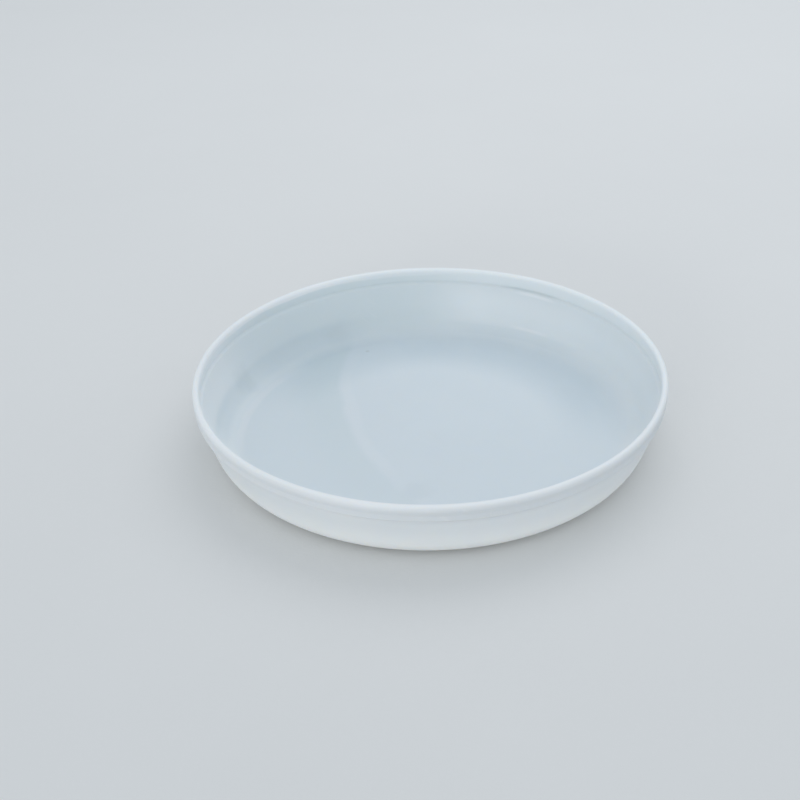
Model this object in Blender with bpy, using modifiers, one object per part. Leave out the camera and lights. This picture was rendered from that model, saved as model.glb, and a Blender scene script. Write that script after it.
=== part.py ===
"""Large shallow feed pan for horses: one thick polyethylene moulding, turned about +Z.

Metres, +Z up. The origin is the centre of the circle that the pan stands on, so z = 0 is the ground
and the crown of the lip is at z = PAN_HEIGHT. The real pan is a single moulding with nothing fitted
to it, so it is a single object.
"""

import math

import bpy

# Overall sizes
PAN_DIAMETER = 0.750
PAN_HEIGHT = 0.116
WALL_FLARE = 0.037  # how much further out the rim is than the wall's outer line at the ground
BASE_ROUNDING = 0.054  # outer radius between the wall and the base
WALL_THICKNESS = 0.009  # of the floor, wall and lip band, square to the surface

# Lip: an upright band set out from the wall by a small step, with a rounded bead along its crown
LIP_HEIGHT = 0.025  # from the crown down to the step
LIP_SET_OUT = 0.0042  # how far the band stands out from the top of the wall
LIP_STEP_DROP = 0.0040  # fall of the sloping step between the band and the wall
LIP_LEDGE_RISE = 0.0020  # how much higher the step is on the inside, where it makes a ledge
LIP_FLARE = 0.0005  # how far the band leans out between the bead's neck and its lower edge
BEAD_PROUD = 0.0018  # how far the bead stands out from the band's lower edge
BEAD_OUTER_ROUNDING = (0.0048, 0.0078)  # width and height of its elliptical rounding
BEAD_INNER_ROUNDING = (0.0044, 0.0060)
BEAD_UNDERCUT_ANGLE = math.radians(30)  # how far the outer rounding carries on below its widest point
BEAD_NECK_DEPTH = 0.0160  # from the crown down to where the bead has drawn in to the band
BEAD_NECK_ROUNDING = 0.0080
STEP_EDGE_ROUNDING = 0.0014  # outside, on the band's lower edge
STEP_CORNER_ROUNDING = 0.0020  # outside, where the step meets the wall
LEDGE_CORNER_ROUNDING = 0.0028  # inside, where the band meets the ledge
LEDGE_EDGE_ROUNDING = 0.0060  # inside, where the ledge turns down into the wall

# Underside: the pan stands on a flat ring, and the middle is bowed up clear of the ground
FOOT_RING_WIDTH = 0.040
FLOOR_CROWN = 0.003

# Fineness of the turned mesh
STEPS_AROUND = 72
STEPS_BASE_ROUNDING = 8
STEPS_BEAD = 4
STEPS_EDGE = 2
STEPS_FLOOR = 6

POLYETHYLENE_COLOUR = (0.70, 0.73, 0.75, 1.0)
POLYETHYLENE_ROUGHNESS = 0.38


def empty_the_scene():
    for old in list(bpy.data.objects):
        bpy.data.objects.remove(old, do_unlink=True)


def polyethylene():
    """Milky white polyethylene with a soft sheen."""
    material = bpy.data.materials.new("polyethylene")
    material.use_nodes = True
    shader = material.node_tree.nodes["Principled BSDF"]
    shader.inputs["Base Color"].default_value = POLYETHYLENE_COLOUR
    shader.inputs["Roughness"].default_value = POLYETHYLENE_ROUGHNESS
    shader.inputs["Metallic"].default_value = 0.0
    return material


def unit(x, z):
    length = math.hypot(x, z)
    return x / length, z / length


def rounded_corner(before, corner, after, radius, steps):
    """The arc of the given radius that replaces the corner between two straight runs."""
    to_before = unit(before[0] - corner[0], before[1] - corner[1])
    to_after = unit(after[0] - corner[0], after[1] - corner[1])
    half_angle = 0.5 * math.acos(to_before[0] * to_after[0] + to_before[1] * to_after[1])
    to_tangent = radius / math.tan(half_angle)
    bisector = unit(to_before[0] + to_after[0], to_before[1] + to_after[1])
    to_centre = radius / math.sin(half_angle)
    centre = (corner[0] + bisector[0] * to_centre, corner[1] + bisector[1] * to_centre)
    start = (corner[0] + to_before[0] * to_tangent, corner[1] + to_before[1] * to_tangent)
    end = (corner[0] + to_after[0] * to_tangent, corner[1] + to_after[1] * to_tangent)
    start_angle = math.atan2(start[1] - centre[1], start[0] - centre[0])
    end_angle = math.atan2(end[1] - centre[1], end[0] - centre[0])
    sweep = (end_angle - start_angle + math.pi) % (2 * math.pi) - math.pi
    angles = [start_angle + sweep * i / steps for i in range(steps + 1)]
    return [(centre[0] + radius * math.cos(a), centre[1] + radius * math.sin(a)) for a in angles]


def rounded_run(start, corners, end):
    """Points from start to end past corners given as (point, radius, steps), without the two ends."""
    stops = [start] + [point for point, _, _ in corners] + [end]
    run = []
    for i, (point, radius, steps) in enumerate(corners):
        run += rounded_corner(stops[i], point, stops[i + 2], radius, steps)
    return run


def elliptical_rounding(centre, half_size, start_angle, end_angle):
    width, height = half_size
    angles = [start_angle + (end_angle - start_angle) * i / STEPS_BEAD for i in range(STEPS_BEAD + 1)]
    return [(centre[0] + width * math.cos(a), centre[1] + height * math.sin(a)) for a in angles]


def bowed_floor(reach, edge_height):
    """A panel from the axis out to reach, raised by FLOOR_CROWN in the middle and level at its edge."""
    radii = [reach * i / STEPS_FLOOR for i in range(STEPS_FLOOR + 1)]
    return [(r, edge_height + FLOOR_CROWN * (1 - (r / reach) ** 2) ** 2) for r in radii]


def pan_profile():
    """Half section of the pan: along the floor, up the inside, over the lip, down the outside and back."""
    rim = PAN_DIAMETER / 2
    band_outside = rim - BEAD_PROUD
    band_inside = band_outside - WALL_THICKNESS
    step_top = PAN_HEIGHT - LIP_HEIGHT
    step_bottom = step_top - LIP_STEP_DROP

    # The wall is a straight line in section. Its inner line is moved in by its radial thickness.
    wall_top = (band_outside - LIP_SET_OUT, step_bottom)
    base_corner = (rim - WALL_FLARE, 0.0)
    lean = (wall_top[0] - base_corner[0]) / (wall_top[1] - base_corner[1])
    radial_thickness = WALL_THICKNESS * math.hypot(1, lean)
    inner_line = base_corner[0] - radial_thickness
    ledge_corner = (band_inside, step_top + LIP_LEDGE_RISE)
    ledge_bottom = step_bottom + LIP_LEDGE_RISE
    ledge_edge = (inner_line + lean * ledge_bottom, ledge_bottom)
    floor_corner = (inner_line + lean * WALL_THICKNESS, WALL_THICKNESS)

    # The flat ring of the base starts where the wall's rounding ends.
    wall_angle = math.pi / 2 - math.atan(lean)
    foot_outer = base_corner[0] - BASE_ROUNDING * math.tan(wall_angle / 2)
    foot_inner = foot_outer - FOOT_RING_WIDTH
    upper_floor = bowed_floor(foot_inner, WALL_THICKNESS)
    underside = bowed_floor(foot_inner, 0.0)[::-1]

    bead_inner_centre = (band_inside + BEAD_INNER_ROUNDING[0], PAN_HEIGHT - BEAD_INNER_ROUNDING[1])
    bead_outer_centre = (rim - BEAD_OUTER_ROUNDING[0], PAN_HEIGHT - BEAD_OUTER_ROUNDING[1])
    bead_inner = elliptical_rounding(bead_inner_centre, BEAD_INNER_ROUNDING, math.pi, math.pi / 2)
    bead_outer = elliptical_rounding(
        bead_outer_centre, BEAD_OUTER_ROUNDING, math.pi / 2, -BEAD_UNDERCUT_ANGLE
    )
    inside = rounded_run(
        upper_floor[-1],
        [
            (floor_corner, BASE_ROUNDING - WALL_THICKNESS, STEPS_BASE_ROUNDING),
            (ledge_edge, LEDGE_EDGE_ROUNDING, STEPS_EDGE),
            (ledge_corner, LEDGE_CORNER_ROUNDING, STEPS_EDGE),
        ],
        bead_inner[0],
    )
    outside = rounded_run(
        bead_outer[-1],
        [
            ((band_outside - LIP_FLARE, PAN_HEIGHT - BEAD_NECK_DEPTH), BEAD_NECK_ROUNDING, STEPS_EDGE),
            ((band_outside, step_top), STEP_EDGE_ROUNDING, STEPS_EDGE),
            (wall_top, STEP_CORNER_ROUNDING, STEPS_EDGE),
            (base_corner, BASE_ROUNDING, STEPS_BASE_ROUNDING),
        ],
        underside[0],
    )
    return upper_floor + inside + bead_inner + bead_outer + outside + underside


def turned(name, profile, material, collection):
    """A solid turned about +Z from a half section whose ends lie on the axis."""
    mesh = bpy.data.meshes.new(name)
    edges = [(i, i + 1) for i in range(len(profile) - 1)]
    mesh.from_pydata([(r, 0.0, z) for r, z in profile], edges, [])
    mesh.materials.append(material)
    solid = bpy.data.objects.new(name, mesh)
    collection.objects.link(solid)
    screw = solid.modifiers.new("turn", "SCREW")
    screw.axis = "Z"
    screw.angle = 2 * math.pi
    screw.steps = STEPS_AROUND
    screw.render_steps = STEPS_AROUND
    screw.use_merge_vertices = True
    screw.merge_threshold = 0.00001
    screw.use_smooth_shade = True
    return solid


def main():
    empty_the_scene()
    collection = bpy.data.collections.new("Feed pan")
    bpy.context.scene.collection.children.link(collection)
    turned("feed_pan", pan_profile(), polyethylene(), collection)


main()
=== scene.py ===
import math
from typing import NamedTuple

import bpy
import numpy as np
from mathutils import Matrix, Vector


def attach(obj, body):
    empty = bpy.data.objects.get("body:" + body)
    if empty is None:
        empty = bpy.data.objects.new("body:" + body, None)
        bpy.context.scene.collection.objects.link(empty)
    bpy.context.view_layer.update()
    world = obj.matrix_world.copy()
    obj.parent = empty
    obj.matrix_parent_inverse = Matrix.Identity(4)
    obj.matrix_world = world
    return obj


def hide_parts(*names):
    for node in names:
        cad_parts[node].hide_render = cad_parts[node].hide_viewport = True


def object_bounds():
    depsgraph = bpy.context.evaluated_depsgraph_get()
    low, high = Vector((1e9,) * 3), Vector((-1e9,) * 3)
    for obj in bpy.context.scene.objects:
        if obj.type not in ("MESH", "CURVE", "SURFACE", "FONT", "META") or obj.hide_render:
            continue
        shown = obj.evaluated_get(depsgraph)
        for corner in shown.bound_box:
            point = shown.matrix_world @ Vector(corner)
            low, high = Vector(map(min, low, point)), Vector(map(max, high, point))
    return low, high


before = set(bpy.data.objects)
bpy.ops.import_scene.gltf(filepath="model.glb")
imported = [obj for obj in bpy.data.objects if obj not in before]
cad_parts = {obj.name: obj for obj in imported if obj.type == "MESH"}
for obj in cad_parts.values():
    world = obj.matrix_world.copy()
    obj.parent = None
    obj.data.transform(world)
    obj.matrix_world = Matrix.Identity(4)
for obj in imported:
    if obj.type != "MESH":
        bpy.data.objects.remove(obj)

CAD_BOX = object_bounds()
RIM = CAD_BOX[1][0]
HEIGHT = CAD_BOX[1][2]

# Section of the moulding
WALL_FLARE = 0.037
BASE_ROUNDING = 0.054
WALL = 0.009
LIP_HEIGHT = 0.025
LIP_SET_OUT = 0.0042
LIP_STEP_DROP = 0.0040
LIP_LEDGE_RISE = 0.0020
LIP_FLARE = 0.0005
BEAD_PROUD = 0.0018
BEAD_OUTER = (0.0048, 0.0078)
BEAD_INNER = (0.0044, 0.0060)
BEAD_UNDERCUT = math.radians(30)
BEAD_NECK_DEPTH = 0.0160
BEAD_NECK_ROUNDING = 0.008
STEP_EDGE_ROUNDING = 0.0014
STEP_CORNER_ROUNDING = 0.0020
LEDGE_CORNER_ROUNDING = 0.0028
LEDGE_EDGE_ROUNDING = 0.0060
FOOT_RING_WIDTH = 0.040
FLOOR_CROWN = 0.003

# Fineness of the turned mesh
AROUND = 360
SECTION_SPACING = 0.005  # longest run between two points of the section
STEPS_FLOOR = 30
STEPS_FILLET = 22
STEPS_LEDGE = 6
STEPS_BEAD_INNER = 10
STEPS_BEAD_OUTER = 14
STEPS_NECK = 6
STEPS_OUTER_STEP = 5
STEPS_BASE = 24

# How the moulding has settled out of true, as a big plastic pan does
LIP_WAVES = ((2, 0.00055, 0.7), (3, 0.00035, 2.1), (5, 0.00020, 4.0))  # count, height and phase
WALL_WAVES = ((3, 0.00040, 1.3), (7, 0.00018, 0.4), (11, 0.00010, 2.9))
WAVES_SET_IN = 0.03  # how far outside the foot ring the waves have fully set in
SAG_CENTRE = (0.425, 0.159)  # of the big circle whose arc crosses the floor where it starts to sag
SAG_RADIUS = 0.578
SAG_SOFTNESS = 0.030
SAG_DEPTH = 0.0014


def unit(x, z):
    length = math.hypot(x, z)
    return x / length, z / length


def rounded_corner(before, corner, after, radius, steps):
    """The arc of the given radius that replaces the corner between two straight runs."""
    to_before = unit(before[0] - corner[0], before[1] - corner[1])
    to_after = unit(after[0] - corner[0], after[1] - corner[1])
    half_angle = 0.5 * math.acos(to_before[0] * to_after[0] + to_before[1] * to_after[1])
    to_tangent = radius / math.tan(half_angle)
    bisector = unit(to_before[0] + to_after[0], to_before[1] + to_after[1])
    to_centre = radius / math.sin(half_angle)
    centre = (corner[0] + bisector[0] * to_centre, corner[1] + bisector[1] * to_centre)
    start = (corner[0] + to_before[0] * to_tangent, corner[1] + to_before[1] * to_tangent)
    end = (corner[0] + to_after[0] * to_tangent, corner[1] + to_after[1] * to_tangent)
    start_angle = math.atan2(start[1] - centre[1], start[0] - centre[0])
    end_angle = math.atan2(end[1] - centre[1], end[0] - centre[0])
    sweep = (end_angle - start_angle + math.pi) % (2 * math.pi) - math.pi
    angles = [start_angle + sweep * i / steps for i in range(steps + 1)]
    return [(centre[0] + radius * math.cos(a), centre[1] + radius * math.sin(a)) for a in angles]


def rounded_run(start, corners, end):
    """Points from start to end past corners given as (point, radius, steps), without the two ends."""
    stops = [start] + [point for point, _, _ in corners] + [end]
    run = []
    for i, (point, radius, steps) in enumerate(corners):
        run += rounded_corner(stops[i], point, stops[i + 2], radius, steps)
    return run


def elliptical_rounding(centre, half_size, start_angle, end_angle, steps):
    width, height = half_size
    angles = [start_angle + (end_angle - start_angle) * i / steps for i in range(steps + 1)]
    return [(centre[0] + width * math.cos(a), centre[1] + height * math.sin(a)) for a in angles]


def bow(radius):
    """How much of the floor's crown is left at a radius, from 1 on the axis to 0 at the foot ring."""
    return (1 - np.clip(radius / FOOT_INNER, 0, 1) ** 2) ** 2


def bowed_floor(edge_height):
    radii = [FOOT_INNER * i / STEPS_FLOOR for i in range(STEPS_FLOOR + 1)]
    return [(r, edge_height + FLOOR_CROWN * bow(r)) for r in radii]


# Corners of the section, worked out as in the CAD model
BAND_OUTSIDE = RIM - BEAD_PROUD
BAND_INSIDE = BAND_OUTSIDE - WALL
STEP_TOP = (BAND_OUTSIDE, HEIGHT - LIP_HEIGHT)
STEP_BOTTOM = (BAND_OUTSIDE - LIP_SET_OUT, STEP_TOP[1] - LIP_STEP_DROP)
BASE_CORNER = (RIM - WALL_FLARE, 0.0)
LEAN = (STEP_BOTTOM[0] - BASE_CORNER[0]) / STEP_BOTTOM[1]
INNER_LINE = BASE_CORNER[0] - WALL * math.hypot(1, LEAN)
LEDGE_TOP = (BAND_INSIDE, STEP_TOP[1] + LIP_LEDGE_RISE)
LEDGE_BOTTOM_HEIGHT = STEP_BOTTOM[1] + LIP_LEDGE_RISE
LEDGE_BOTTOM = (INNER_LINE + LEAN * LEDGE_BOTTOM_HEIGHT, LEDGE_BOTTOM_HEIGHT)
FLOOR_CORNER = (INNER_LINE + LEAN * WALL, WALL)
FOOT_OUTER = BASE_CORNER[0] - BASE_ROUNDING * math.tan(math.pi / 4 - math.atan(LEAN) / 2)
FOOT_INNER = FOOT_OUTER - FOOT_RING_WIDTH


def pan_section():
    """Half section of the pan: along the floor, up the inside, over the lip, down the outside and back."""
    upper_floor = bowed_floor(WALL)
    underside = bowed_floor(0.0)[::-1]
    bead_in_centre = (BAND_INSIDE + BEAD_INNER[0], HEIGHT - BEAD_INNER[1])
    bead_out_centre = (RIM - BEAD_OUTER[0], HEIGHT - BEAD_OUTER[1])
    bead_inner = elliptical_rounding(
        bead_in_centre, BEAD_INNER, math.pi, math.pi / 2, STEPS_BEAD_INNER
    )
    bead_outer = elliptical_rounding(
        bead_out_centre, BEAD_OUTER, math.pi / 2, -BEAD_UNDERCUT, STEPS_BEAD_OUTER
    )
    inside = rounded_run(
        upper_floor[-1],
        [
            (FLOOR_CORNER, BASE_ROUNDING - WALL, STEPS_FILLET),
            (LEDGE_BOTTOM, LEDGE_EDGE_ROUNDING, STEPS_LEDGE),
            (LEDGE_TOP, LEDGE_CORNER_ROUNDING, STEPS_LEDGE),
        ],
        bead_inner[0],
    )
    outside = rounded_run(
        bead_outer[-1],
        [
            ((BAND_OUTSIDE - LIP_FLARE, HEIGHT - BEAD_NECK_DEPTH), BEAD_NECK_ROUNDING, STEPS_NECK),
            (STEP_TOP, STEP_EDGE_ROUNDING, STEPS_OUTER_STEP),
            (STEP_BOTTOM, STEP_CORNER_ROUNDING, STEPS_OUTER_STEP),
            (BASE_CORNER, BASE_ROUNDING, STEPS_BASE),
        ],
        underside[0],
    )
    return upper_floor + inside + bead_inner + bead_outer + outside + underside


def refined(section):
    """The section with its long straight runs cut into short ones."""
    points = [section[0]]
    for end in section[1:]:
        start = points[-1]
        count = max(1, math.ceil(math.dist(start, end) / SECTION_SPACING))
        for i in range(1, count + 1):
            t = i / count
            points.append((start[0] + (end[0] - start[0]) * t, start[1] + (end[1] - start[1]) * t))
    return points


def smooth_step(value, low, high):
    t = np.clip((value - low) / (high - low), 0, 1)
    return t * t * (3 - 2 * t)


def waves(angle, table):
    return sum(height * np.sin(count * angle + phase) for count, height, phase in table)


def settled(points):
    """Moves the turned points by the small waves of the lip and wall and the shallow sag of the floor."""
    x, y, z = points.T
    radius = np.hypot(x, y)
    angle = np.arctan2(y, x)
    outside_foot = smooth_step(radius, FOOT_OUTER, FOOT_OUTER + WAVES_SET_IN)
    up_the_wall = np.clip(z / HEIGHT, 0, 1) ** 2 * outside_foot
    wider = 1 + waves(angle, WALL_WAVES) * up_the_wall / RIM
    from_sag = np.hypot(x - SAG_CENTRE[0], y - SAG_CENTRE[1])
    sag = 1 - smooth_step(from_sag, SAG_RADIUS - SAG_SOFTNESS, SAG_RADIUS + SAG_SOFTNESS)
    drop = SAG_DEPTH * sag * bow(radius)
    return np.stack([x * wider, y * wider, z + waves(angle, LIP_WAVES) * up_the_wall - drop], axis=1)


def distances_along(points):
    runs = np.hypot(*np.diff(points, axis=0).T)
    return np.concatenate([[0.0], np.cumsum(runs)])


def turned(name, section):
    """A closed mesh turned about +Z from a half section whose two ends lie on the axis.

    The point attribute "along" is the distance along the section from the middle of the floor.
    """
    ends = np.array(section)
    along = distances_along(ends)
    angles = np.arange(AROUND) * 2 * math.pi / AROUND
    radii = ends[1:-1, :1]
    heights = np.repeat(ends[1:-1, 1:], AROUND, axis=1)
    rings = np.stack([radii * np.cos(angles), radii * np.sin(angles), heights], axis=2).reshape(-1, 3)
    points = np.vstack([[0.0, 0.0, ends[0, 1]], rings, [0.0, 0.0, ends[-1, 1]]])
    rows = len(radii)
    last = len(points) - 1
    faces = []
    for j in range(AROUND):
        k = (j + 1) % AROUND
        faces.append((0, 1 + j, 1 + k))
        for i in range(rows - 1):
            a = 1 + i * AROUND
            b = a + AROUND
            faces.append((a + j, b + j, b + k, a + k))
        bottom = 1 + (rows - 1) * AROUND
        faces.append((last, bottom + k, bottom + j))
    mesh = bpy.data.meshes.new(name)
    mesh.from_pydata(settled(points).tolist(), [], faces)
    distance = mesh.attributes.new("along", "FLOAT", "POINT")
    distance.data.foreach_set("value", np.concatenate([[0.0], np.repeat(along[1:-1], AROUND), along[-1:]]))
    mesh.shade_smooth()
    piece = bpy.data.objects.new(name, mesh)
    bpy.context.scene.collection.objects.link(piece)
    return piece


class Look:
    """One material, whose nodes are added and joined by short calls."""

    def __init__(self, name):
        self.material = bpy.data.materials.new(name)
        self.material.use_nodes = True
        self.tree = self.material.node_tree
        self.shader = self.tree.nodes["Principled BSDF"].inputs

    def node(self, kind, **settings):
        made = self.tree.nodes.new(kind)
        for setting, value in settings.items():
            setattr(made, setting, value)
        return made

    def put(self, value, socket):
        """Joins an output to a socket, or sets the socket to a plain value."""
        if isinstance(value, bpy.types.NodeSocket):
            self.tree.links.new(value, socket)
        else:
            socket.default_value = value

    def math(self, operation, *values):
        made = self.node("ShaderNodeMath", operation=operation)
        for i, value in enumerate(values):
            self.put(value, made.inputs[i])
        return made.outputs[0]

    def times(self, *values):
        product = values[0]
        for value in values[1:]:
            product = self.math("MULTIPLY", product, value)
        return product

    def plus(self, *values):
        total = values[0]
        for value in values[1:]:
            total = self.math("ADD", total, value)
        return total

    def vector(self, operation, a, b=None):
        made = self.node("ShaderNodeVectorMath", operation=operation)
        self.put(a, made.inputs[0])
        if b is not None:
            self.put(b, made.inputs[1])
        gives_number = operation in ("DISTANCE", "DOT_PRODUCT")
        return made.outputs["Value" if gives_number else "Vector"]

    def ramp(self, value, low, high, to_low=0.0, to_high=1.0):
        """A smooth change from to_low to to_high as the value goes from low to high."""
        made = self.node("ShaderNodeMapRange", interpolation_type="SMOOTHSTEP")
        for socket, setting in (("Value", value), ("From Min", low), ("From Max", high)):
            self.put(setting, made.inputs[socket])
        self.put(to_low, made.inputs["To Min"])
        self.put(to_high, made.inputs["To Max"])
        return made.outputs["Result"]

    def between(self, value, start, end, fade_in, fade_out):
        """1 from start to end, fading in over one distance before them and out over another past them."""
        rise = self.ramp(value, start - fade_in, start)
        fall = self.ramp(value, end, end + fade_out, to_low=1.0, to_high=0.0)
        return self.times(rise, fall)

    def coordinate(self, place, axis):
        """One coordinate, X, Y or Z, of a place."""
        made = self.node("ShaderNodeSeparateXYZ")
        self.put(place, made.inputs["Vector"])
        return made.outputs[axis]

    def noise(self, place, scale, detail=2.0, roughness=0.5):
        """Smooth noise from 0 to 1, with features about 1 / scale metres across."""
        made = self.node("ShaderNodeTexNoise")
        self.put(place, made.inputs["Vector"])
        self.put(scale, made.inputs["Scale"])
        self.put(detail, made.inputs["Detail"])
        self.put(roughness, made.inputs["Roughness"])
        return made.outputs["Fac"]

    def wander(self, place, scale, detail, reach):
        """A smooth random length, up to about half of reach either way."""
        return self.times(self.math("SUBTRACT", self.noise(place, scale, detail), 0.5), reach)

    def tones(self, value, stops, reach):
        """A colour that follows stops of (value, colour), with values from 0 to reach."""
        made = self.node("ShaderNodeValToRGB")
        ramp = made.color_ramp
        ramp.interpolation = "EASE"
        while len(ramp.elements) < len(stops):
            ramp.elements.new(1.0)
        for element, (position, colour) in zip(ramp.elements, stops):
            element.position = position / reach
            element.color = (*colour, 1.0)
        self.put(self.math("DIVIDE", value, reach), made.inputs["Fac"])
        return made.outputs["Color"]

    def mix(self, amount, a, b, blend="MIX"):
        made = self.node("ShaderNodeMix", data_type="RGBA", blend_type=blend)
        self.put(amount, made.inputs["Factor"])
        for label, value in (("A", a), ("B", b)):
            socket = next(s for s in made.inputs if s.name == label and s.type == "RGBA")
            self.put(value, socket)
        return next(s for s in made.outputs if s.type == "RGBA")

    def bump(self, height, distance, before=None):
        made = self.node("ShaderNodeBump")
        self.put(height, made.inputs["Height"])
        self.put(distance, made.inputs["Distance"])
        if before is not None:
            self.put(before, made.inputs["Normal"])
        return made.outputs["Normal"]


def places(section):
    """How far along the section, from the middle of the floor, its main features lie."""
    points = np.array(section)
    along = distances_along(points)

    def at(radius, height):
        return float(along[np.argmin(np.hypot(points[:, 0] - radius, points[:, 1] - height))])

    fillet_rise = (BASE_ROUNDING - WALL) * (1 - math.sin(math.atan(LEAN)))
    return {
        "fillet": at(FOOT_OUTER, WALL),
        "wall": at(INNER_LINE + LEAN * (WALL + fillet_rise), WALL + fillet_rise),
        "ledge": at(*LEDGE_BOTTOM),
        "crease": at(*LEDGE_TOP),
        "crown": at(RIM - WALL / 2, HEIGHT),
        "bead side": at(RIM, HEIGHT - BEAD_OUTER[1]),
        "step": at(*STEP_TOP),
        "outer wall": at(*STEP_BOTTOM),
        "base": at(BASE_CORNER[0], BASE_ROUNDING / 3),
        "foot": at(FOOT_OUTER, 0.0),
        "end": float(along[-1]),
    }


# Colours of the polyethylene, from the floor up the inside, over the lip and down the outside, with light
# and shade painted in along the section
FLOOR_WHITE = (0.757, 0.815, 0.842)
WALL_WHITE = (0.775, 0.822, 0.842)
# painted shade at the top of the inner wall, under the ledge
WALL_TOP_WHITE_PAINTED_SHADE = (0.738, 0.783, 0.803)
INNER_BAND_WHITE = (0.79, 0.83, 0.845)
# painted highlight on the crown of the lip
CROWN_WHITE_PAINTED_HIGHLIGHT = (0.87, 0.90, 0.905)
# painted shade on the outer band under the bead
BAND_WHITE_PAINTED_SHADE = (0.715, 0.745, 0.765)
OUTER_WHITE = (0.78, 0.81, 0.825)
# painted light on the base, against the shade where it meets the floor
BASE_WHITE_PAINTED_LIGHT = (0.91, 0.925, 0.915)

# Colours of its marks
# painted shade round the edge of the floor and low on the wall
FILLET_SHADE_TINT = (0.60, 0.685, 0.735)
# painted shade on the inner wall towards the back and left
WALL_SHADE_TINT = (0.69, 0.755, 0.775)
SAG_SHADE_TINT = (0.91, 0.94, 0.93)  # painted shade: what the sag's shading leaves of the light
# painted light on the inner wall, the lip and the floor
PAINTED_LIGHT_TINT = (0.90, 0.91, 0.915)
SCRATCHED = (0.90, 0.91, 0.91)
CLOUDED = (0.62, 0.68, 0.70)
# painted shade in the creases, and the colour of the dark patches
PATCH_AND_SHADE_GREY = (0.50, 0.56, 0.57)
SOIL = (0.34, 0.30, 0.22)
SPECK = (0.22, 0.20, 0.17)


class Strip(NamedTuple):
    """A patch of painted light or shade that covers a strip of the section, on the side of the pan towards
    an azimuth.
    """

    start: tuple  # a feature of the section, and how far past it
    end: tuple
    fade_in: float  # before the start
    fade_out: float  # past the end
    azimuth: float  # in degrees from +X, as full and gone are from the azimuth
    full: float  # it is at its full depth within this angle
    gone: float  # it has faded out by this angle
    depth: float  # how far it changes the colour, from 0 to 1


MARKS_WANDER = 0.02  # how unevenly the strips run

# Strips of painted light and shade, each as start, end, fade_in, fade_out, azimuth, full, gone and depth
# painted shade round the edge of the floor, deepest on the +Y side, and smaller patches of it
FLOOR_EDGE_PAINTED_SHADE = Strip(("fillet", -0.035), ("fillet", -0.015), 0.085, 0.064, 76, 48.5, 93, 0.72)
SMALL_PAINTED_SHADES = (
    # the sharp top of the painted shade round the floor's edge, another low on the wall, and one where the
    # floor turns up
    Strip(("wall", -0.032), ("wall", -0.017), 0.004, 0.004, 62, 8, 26, 0.14),
    Strip(("wall", -0.025), ("wall", -0.004), 0.014, 0.014, 150, 26, 45.5, 0.33),
    Strip(("fillet", 0.002), ("fillet", 0.014), 0.010, 0.010, 121, 10, 21.5, 0.15),
)
# painted shade on the inner wall towards azimuth 118
PAINTED_WALL_SHADE = Strip(("fillet", 0.025), ("crown", -0.016), 0.030, 0.005, 118, 14, 44, 0.68)
# painted light on the inner wall
PAINTED_LIGHT_ON_WALL = (
    # a short stretch, the -Y side and the -X side
    Strip(("wall", -0.008), ("ledge", -0.016), 0.006, 0.016, 62, 11.5, 28.5, 0.12),
    Strip(("fillet", 0.020), ("crown", -0.006), 0.020, 0.020, 270, 60, 90, 0.75),
    Strip(("wall", 0.010), ("crown", -0.006), 0.020, 0.020, 185, 14, 32, 0.27),
)
# painted light on the lip
PAINTED_LIGHT_ON_LIP = (
    # outside, and inside
    Strip(("bead side", 0.0), ("outer wall", 0.0), 0.006, 0.006, 225, 18, 56.5, 0.20),
    Strip(("crown", -0.011), ("crown", -0.003), 0.003, 0.003, 148, 23, 45.5, 0.75),
)
# painted highlight lines on the inner wall and where the floor turns up
PAINTED_HIGHLIGHT_LINES = (
    # above the painted shade, below the ledge, and where the floor turns up
    Strip(("wall", -0.012), ("wall", -0.010), 0.003, 0.003, 58, 2.5, 7.25, 0.38),
    Strip(("crease", -0.008), ("crease", -0.006), 0.003, 0.003, 58, 2.5, 7.25, 0.38),
    Strip(("fillet", 0.002), ("fillet", 0.007), 0.007, 0.007, 168, 11.5, 28.5, 0.26),
)
# painted shade in the crease under the lip and in the outer step
CREASE_PAINTED_SHADE = Strip(("crease", -0.0012), ("crease", 0.0004), 0.003, 0.003, 60, 3.6, 10.25, 0.27)
CREASE_SHADE_ALL_ROUND = 0.05
STEP_SHADE_WIDTH = 0.0015
STEP_SHADE_DEPTHS = (0.02, 0.30)
DARK_PATCHES = (  # place, radius and depth
    ((-0.020, -0.177, 0.009), 0.034, 0.10),
    ((-0.108, 0.260, 0.009), 0.0045, 0.55),
    ((-0.316, 0.126, 0.031), 0.036, 0.18),
    ((-0.166, 0.294, 0.026), 0.034, 0.10),
)

# Painted shade on the floor outside the edge of the sag, by how far it lies outside that edge, and the
# painted light line just inside it
SAG_EDGE_WANDER = 0.03
SAG_SHADE_EDGE = 0.007  # half the width of its soft edge
SAG_SHADE_THINS = (0.02, 0.11)
SAG_SHADE_THIN = 0.25  # what is left of it there
SAG_SHADE_ACROSS = (-0.25, 0.28)  # Y where it is at its faintest and its strongest
SAG_SHADE_DEPTHS = (0.30, 0.80)
# painted light line just inside the edge of the sag
SAG_EDGE_LIGHT_LINE = (-0.018, -0.010)
SAG_EDGE_LIGHT_SOFTNESS = 0.010
SAG_EDGE_LIGHT_FADES = (-0.175, -0.090)  # Y where it has faded out and where it starts to fade
SAG_EDGE_LIGHT_DEPTH = 0.13

# Hairline scratches and specks. A band of noise values says how rare each is and how soft its edge.
HAIRLINE_TURNS = (0.3, 1.1, 2.0, 2.7)
HAIRLINE_STRETCH = (5.0, 900.0, 40.0)  # long along X and narrow across it, before they are turned
HAIRLINE_LINES = (0.66, 0.72)
HAIRLINE_LENGTHS = (0.50, 0.62)
SPECK_CELLS = 16.0  # to the metre, each of which may hold one speck
SPECK_RADII = (0.007, 0.012)  # its dark middle and its edge, as shares of a cell
SPECK_RARITY = (0.80, 0.82)

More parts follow.
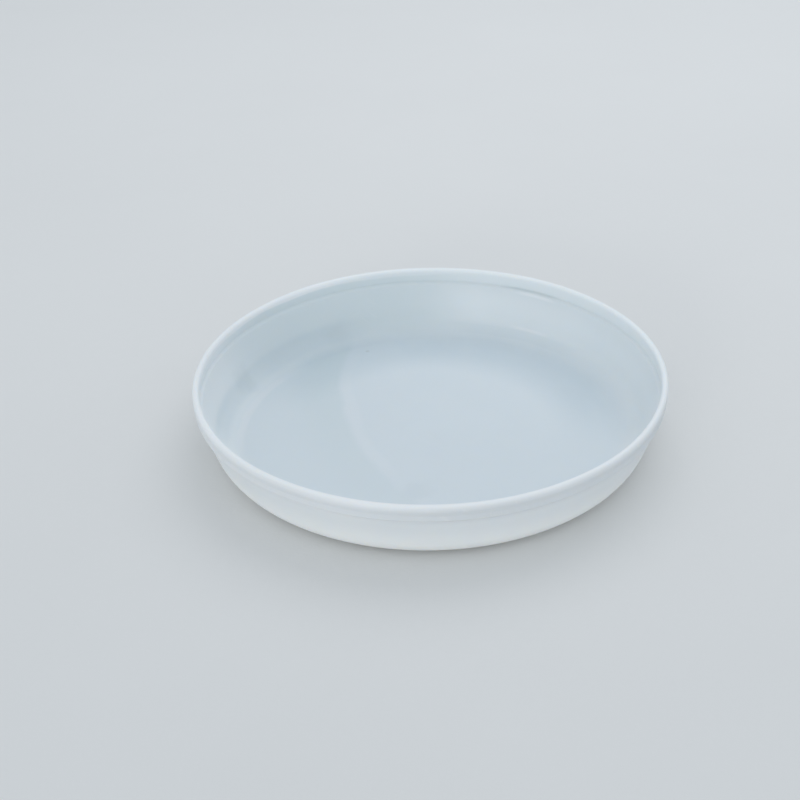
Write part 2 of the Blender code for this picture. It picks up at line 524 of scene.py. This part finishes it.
# How far soil, clouds, scratches and specks change the colour
FOOT_SOIL_DEPTH = 0.45
BASE_SOIL_DEPTH = 0.12
CLOUD_DEPTH = 0.05
HAIRLINE_DEPTH = 0.10
SPECK_DEPTH = 0.8

FOOT_SOIL_OVERLAP = 0.004  # outside the foot ring
FOOT_SOIL_FADE = 0.012

# Surface
SATIN_ROUGHNESS = (0.43, 0.55)
HAIRLINE_ROUGHER = 0.18
SOIL_ROUGHER = 0.25
RIPPLE_HEIGHT = 0.00015
PEEL_HEIGHT = 0.00003
HAIRLINE_CUT = 0.00003


# The plastic's colour along the section, with a painted highlight on the crown, painted shade on the outer
# band and the top of the inner wall, and painted light on the base
def section_tone_with_painted_light(look, along, place_of):
    stops = [
        (0.0, FLOOR_WHITE),
        (place_of["fillet"] - 0.02, FLOOR_WHITE),
        (place_of["fillet"] + 0.03, WALL_WHITE),
        (place_of["wall"] + 0.015, WALL_WHITE),
        (place_of["crease"] - 0.001, WALL_TOP_WHITE_PAINTED_SHADE),
        (place_of["crease"] + 0.004, INNER_BAND_WHITE),
        (place_of["crown"] - 0.012, INNER_BAND_WHITE),
        (place_of["crown"], CROWN_WHITE_PAINTED_HIGHLIGHT),
        (place_of["bead side"], BAND_WHITE_PAINTED_SHADE),
        (place_of["step"], BAND_WHITE_PAINTED_SHADE),
        (place_of["outer wall"] + 0.012, OUTER_WHITE),
        (place_of["base"], BASE_WHITE_PAINTED_LIGHT),
        (place_of["end"], OUTER_WHITE),
    ]
    return look.tones(along, stops, place_of["end"])


def facing(look, place, azimuth, full, gone):
    """1 within one angle of an azimuth, fading to 0 at another, all in degrees."""
    towards = (math.cos(math.radians(azimuth)), math.sin(math.radians(azimuth)), 0.0)
    level = look.vector("MULTIPLY", place, (1.0, 1.0, 0.0))
    cosine = look.vector("DOT_PRODUCT", look.vector("NORMALIZE", level), towards)
    return look.ramp(cosine, math.cos(math.radians(gone)), math.cos(math.radians(full)))


def strip_of_section(look, along, place_of, strip):
    start = place_of[strip.start[0]] + strip.start[1]
    end = place_of[strip.end[0]] + strip.end[1]
    return look.between(along, start, end, strip.fade_in, strip.fade_out)


def marks(look, place, along, place_of, strips):
    """How deep some strips are at each point, added together."""
    depths = []
    for strip in strips:
        covered = strip_of_section(look, along, place_of, strip)
        side = facing(look, place, strip.azimuth, strip.full, strip.gone)
        depths.append(look.times(covered, side, strip.depth))
    return look.plus(*depths)


def painted_fillet_shade(look, place, along, place_of):
    """Patchy painted shade round the edge of the floor, deepest on the +Y side, and some smaller patches
    of it.
    """
    patches = look.ramp(look.noise(place, 7.0, 4.0, 0.6), 0.25, 0.6, to_low=0.78, to_high=1.0)
    ring = look.times(marks(look, place, along, place_of, [FLOOR_EDGE_PAINTED_SHADE]), patches)
    return look.plus(ring, marks(look, place, along, place_of, SMALL_PAINTED_SHADES))


def from_sag_edge(look, place):
    """How far the floor's surface is outside the edge of the sag, which wanders a little."""
    distance = look.vector("DISTANCE", place, (*SAG_CENTRE, WALL))
    wandering = look.plus(distance, look.wander(place, 9.0, 3.0, SAG_EDGE_WANDER))
    return look.math("SUBTRACT", wandering, SAG_RADIUS)


def painted_sag_shade(look, place):
    """Painted shade on the floor outside the sag, with a soft edge and stronger towards +Y."""
    outside = from_sag_edge(look, place)
    edge = look.ramp(outside, -SAG_SHADE_EDGE, SAG_SHADE_EDGE)
    thinning = look.ramp(outside, *SAG_SHADE_THINS, to_low=1.0, to_high=SAG_SHADE_THIN)
    across = look.ramp(look.coordinate(place, "Y"), *SAG_SHADE_ACROSS, *SAG_SHADE_DEPTHS)
    return look.times(edge, thinning, across)


def painted_sag_edge_light(look, place):
    """A painted light line on the floor just inside the edge of the sag, fading towards -Y."""
    softness = SAG_EDGE_LIGHT_SOFTNESS
    line = look.between(from_sag_edge(look, place), *SAG_EDGE_LIGHT_LINE, softness, softness)
    fading = look.ramp(look.coordinate(place, "Y"), *SAG_EDGE_LIGHT_FADES)
    return look.times(line, fading, SAG_EDGE_LIGHT_DEPTH)


def dark_patches(look, place):
    """A few small dark patches on the floor and the lower wall that fade out at their edges."""
    depths = []
    for middle, size, depth in DARK_PATCHES:
        near = look.plus(look.vector("DISTANCE", place, middle), look.wander(place, 40.0, 3.0, size))
        depths.append(look.ramp(near, 0.2 * size, size, to_low=depth, to_high=0.0))
    return look.plus(*depths)


def crease_painted_shade(look, place, along, place_of):
    """Painted shade in the crease under the lip, deeper for a short way, and in parts of the outer step.
    """
    all_round = look.times(strip_of_section(look, along, place_of, CREASE_PAINTED_SHADE), CREASE_SHADE_ALL_ROUND)
    deeper = marks(look, place, along, place_of, [CREASE_PAINTED_SHADE])
    corner = place_of["outer wall"]
    step = look.between(along, corner - STEP_SHADE_WIDTH, corner, STEP_SHADE_WIDTH, STEP_SHADE_WIDTH)
    in_parts = look.ramp(look.noise(place, 6.0, 3.0), 0.45, 0.75, *STEP_SHADE_DEPTHS)
    return look.plus(all_round, deeper, look.times(step, in_parts))


def hairlines(look, place, turn):
    """Fine straight scratches, all running one way and broken into short lengths."""
    turned_place = look.node("ShaderNodeMapping")
    look.put(place, turned_place.inputs["Vector"])
    turned_place.inputs["Rotation"].default_value = (0.0, 0.0, turn)
    turned_place.inputs["Scale"].default_value = HAIRLINE_STRETCH
    lines = look.ramp(look.noise(turned_place.outputs["Vector"], 1.0, 1.0), *HAIRLINE_LINES)
    lengths = look.ramp(look.noise(place, 14.0 + turn, 2.0), *HAIRLINE_LENGTHS)
    return look.times(lines, lengths)


def specks(look, place):
    """Rare dark specks about a millimetre across."""
    cells = look.node("ShaderNodeTexVoronoi", feature="F1")
    look.put(place, cells.inputs["Vector"])
    look.put(SPECK_CELLS, cells.inputs["Scale"])
    pick = look.node("ShaderNodeSeparateColor")
    look.put(cells.outputs["Color"], pick.inputs["Color"])
    dot = look.ramp(cells.outputs["Distance"], *SPECK_RADII, to_low=1.0, to_high=0.0)
    return look.times(dot, look.ramp(pick.outputs["Red"], *SPECK_RARITY))


def marked_inside(look, colour, place, along, place_of):
    """The colour with painted shade and painted light over the inside and the lip, and with dark patches.
    """
    uneven = look.plus(along, look.wander(place, 5.0, 2.0, MARKS_WANDER))
    fillet = place_of["fillet"]
    on_floor = look.ramp(along, fillet - 0.01, fillet + 0.04, to_low=1.0, to_high=0.0)
    # a painted light line on the floor just inside the edge of the sag
    colour = look.mix(look.times(painted_sag_edge_light(look, place), on_floor), colour, (*PAINTED_LIGHT_TINT, 1.0))
    # painted shade on the inner wall
    colour = look.mix(marks(look, place, uneven, place_of, [PAINTED_WALL_SHADE]), colour, (*WALL_SHADE_TINT, 1.0))
    # painted shade round the fillet and low on the wall
    colour = look.mix(painted_fillet_shade(look, place, uneven, place_of), colour, (*FILLET_SHADE_TINT, 1.0))
    # painted shade on the floor outside the edge of its sag
    sag_shading = look.times(painted_sag_shade(look, place), on_floor)
    colour = look.mix(sag_shading, colour, (*SAG_SHADE_TINT, 1.0), "MULTIPLY")
    colour = look.mix(dark_patches(look, place), colour, (*PATCH_AND_SHADE_GREY, 1.0))
    # painted light and painted highlight lines on the wall and the lip
    for strips in (PAINTED_LIGHT_ON_WALL, PAINTED_LIGHT_ON_LIP, PAINTED_HIGHLIGHT_LINES):
        colour = look.mix(marks(look, place, uneven, place_of, strips), colour, (*PAINTED_LIGHT_TINT, 1.0))
    # painted shade in the crease under the lip and in the outer step
    return look.mix(crease_painted_shade(look, place, along, place_of), colour, (*PATCH_AND_SHADE_GREY, 1.0))


def soiled_below(look, colour, place, along, place_of, foot):
    """The colour with soil in patches on the foot ring and thinly over the base."""
    patches = look.ramp(look.noise(place, 22.0, 6.0, 0.65), 0.40, 0.72)
    colour = look.mix(look.times(foot, patches, FOOT_SOIL_DEPTH), colour, (*SOIL, 1.0))
    base = look.ramp(along, place_of["base"], place_of["foot"])
    thinly = look.times(base, look.noise(place, 60.0, 4.0), BASE_SOIL_DEPTH)
    return look.mix(thinly, colour, (*SOIL, 1.0))


def weathered(look, colour, place, scratches):
    """The colour with faint clouds, scratches and specks all over."""
    cloud = look.ramp(look.noise(place, 11.0, 4.0, 0.55), 0.25, 0.75, to_low=0.0, to_high=CLOUD_DEPTH)
    colour = look.mix(cloud, colour, (*CLOUDED, 1.0))
    colour = look.mix(look.times(scratches, HAIRLINE_DEPTH), colour, (*SCRATCHED, 1.0))
    return look.mix(look.times(specks(look, place), SPECK_DEPTH), colour, (*SPECK, 1.0))


def satin_surface(look, place, scratches, foot):
    """Satin roughness and a faintly rippled surface, rougher where it is scratched or soiled."""
    satin = look.ramp(look.noise(place, 26.0, 4.0, 0.6), 0.3, 0.7, *SATIN_ROUGHNESS)
    rougher = look.plus(look.times(scratches, HAIRLINE_ROUGHER), look.times(foot, SOIL_ROUGHER))
    look.put(look.plus(satin, rougher), look.shader["Roughness"])
    ripples = look.bump(look.noise(place, 38.0, 2.0), RIPPLE_HEIGHT)
    peel = look.bump(look.noise(place, 420.0, 2.0), PEEL_HEIGHT, ripples)
    scored = look.bump(look.math("SUBTRACT", 1.0, scratches), HAIRLINE_CUT, peel)
    look.put(scored, look.shader["Normal"])


def polyethylene(place_of):
    """Milky polyethylene that has stood outdoors: cloudy, scuffed, soiled underneath, with painted light
    and shade in its colour.
    """
    look = Look("milky_polyethylene")
    place = look.node("ShaderNodeTexCoord").outputs["Object"]
    along = look.node("ShaderNodeAttribute", attribute_name="along").outputs["Fac"]
    scratches = look.plus(*[hairlines(look, place, turn) for turn in HAIRLINE_TURNS])
    foot_start = place_of["foot"] - FOOT_SOIL_OVERLAP
    foot_end = place_of["foot"] + FOOT_RING_WIDTH
    foot = look.between(along, foot_start, foot_end, FOOT_SOIL_FADE, FOOT_SOIL_FADE)
    colour = section_tone_with_painted_light(look, along, place_of)
    colour = marked_inside(look, colour, place, along, place_of)
    colour = soiled_below(look, colour, place, along, place_of, foot)
    look.put(weathered(look, colour, place, scratches), look.shader["Base Color"])
    satin_surface(look, place, scratches, foot)
    look.shader["Subsurface Weight"].default_value = 0.7
    look.shader["Subsurface Radius"].default_value = (1.0, 0.9, 0.8)
    look.shader["Subsurface Scale"].default_value = 0.012
    look.shader["IOR"].default_value = 1.51
    return look.material


# Studio
STUDIO_FLOOR_DARKER = (0.80, 0.795, 0.78)
STUDIO_FLOOR_PALER = (0.84, 0.835, 0.82)
STUDIO_FLOOR_SIZE = 40
SKY_COLOUR = (0.86, 0.93, 1.0)
SKY_STRENGTH = 0.70
OVERHEAD_POWER = 26
OVERHEAD_COLOUR = (0.95, 0.97, 1.0)
OVERHEAD_PLACE = (0.8, 1.8, 3.1)
OVERHEAD_DIAMETER = 3.6
LOW_FRONT_STRENGTH = 0.55
LOW_FRONT_COLOUR = (1.0, 0.99, 0.97)
LOW_FRONT_PLACE = (-1.35, -3.05, 0.50)  # only its direction counts
LOW_FRONT_ANGLE = math.radians(22)

# Camera, aimed a little to the left of the middle of the lip's circle and below it
CAMERA_ELEVATION = math.radians(29.98)
CAMERA_DISTANCE = 6.569 * RIM  # from the middle of the lip's circle
CAMERA_AIM_LEFT = 0.01909  # tangent of the angle
CAMERA_AIM_DOWN = 0.01811
CAMERA_ROLL = math.radians(-1.725)
CAMERA_LENS = 69.975
CAMERA_SENSOR = 36


def pale_floor():
    look = Look("pale_floor")
    place = look.node("ShaderNodeTexCoord").outputs["Object"]
    cloud = look.noise(place, 1.4, 5.0, 0.6)
    colour = look.mix(cloud, (*STUDIO_FLOOR_DARKER, 1.0), (*STUDIO_FLOOR_PALER, 1.0))
    look.put(colour, look.shader["Base Color"])
    look.shader["Roughness"].default_value = 0.9
    look.put(look.bump(look.noise(place, 160.0, 4.0), 0.0002), look.shader["Normal"])
    return look.material


def floor():
    bpy.ops.mesh.primitive_plane_add(size=STUDIO_FLOOR_SIZE)
    plane = bpy.context.object
    plane.name = "studio_floor"
    plane.data.materials.append(pale_floor())


def light(name, kind, energy, colour, place):
    """A lamp that shines from a place towards the middle of the pan."""
    data = bpy.data.lights.new(name, kind)
    data.energy = energy
    data.color = colour
    lamp = bpy.data.objects.new(name, data)
    bpy.context.scene.collection.objects.link(lamp)
    lamp.location = place
    lamp.rotation_euler = (-Vector(place)).to_track_quat("-Z", "Y").to_euler()
    return data


def lights():
    world = bpy.data.worlds.new("soft_sky")
    world.use_nodes = True
    background = world.node_tree.nodes["Background"]
    background.inputs["Color"].default_value = (*SKY_COLOUR, 1.0)
    background.inputs["Strength"].default_value = SKY_STRENGTH
    bpy.context.scene.world = world
    overhead = light("overhead", "AREA", OVERHEAD_POWER, OVERHEAD_COLOUR, OVERHEAD_PLACE)
    overhead.shape = "DISK"
    overhead.size = OVERHEAD_DIAMETER
    low_front = light("low_front", "SUN", LOW_FRONT_STRENGTH, LOW_FRONT_COLOUR, LOW_FRONT_PLACE)
    low_front.angle = LOW_FRONT_ANGLE


def camera():
    """Looks down at the pan at about 30 degrees, from the height of someone standing back from it."""
    middle = Vector((0, 0, HEIGHT))
    eye = middle + CAMERA_DISTANCE * Vector((0, -math.cos(CAMERA_ELEVATION), math.sin(CAMERA_ELEVATION)))
    forward = (middle - eye).normalized()
    right = Vector((1, 0, 0))
    up = right.cross(forward)
    look = (forward - CAMERA_AIM_LEFT * right - CAMERA_AIM_DOWN * up).normalized()
    level_right = look.cross(Vector((0, 0, 1))).normalized()
    level_up = level_right.cross(look)
    side = math.cos(CAMERA_ROLL) * level_right + math.sin(CAMERA_ROLL) * level_up
    top = -math.sin(CAMERA_ROLL) * level_right + math.cos(CAMERA_ROLL) * level_up
    data = bpy.data.cameras.new("photo_view")
    data.lens = CAMERA_LENS
    data.sensor_width = CAMERA_SENSOR
    view = bpy.data.objects.new("photo_view", data)
    bpy.context.scene.collection.objects.link(view)
    turn = Matrix((side, top, -look)).transposed()
    view.matrix_world = Matrix.Translation(eye) @ turn.to_4x4()
    bpy.context.scene.camera = view


section = refined(pan_section())
pan = turned("pan_moulding", section)
pan.data.materials.append(polyethylene(places(section)))
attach(pan, "root")
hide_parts("feed_pan")
floor()
lights()
camera()
bpy.context.scene.view_settings.view_transform = "Standard"
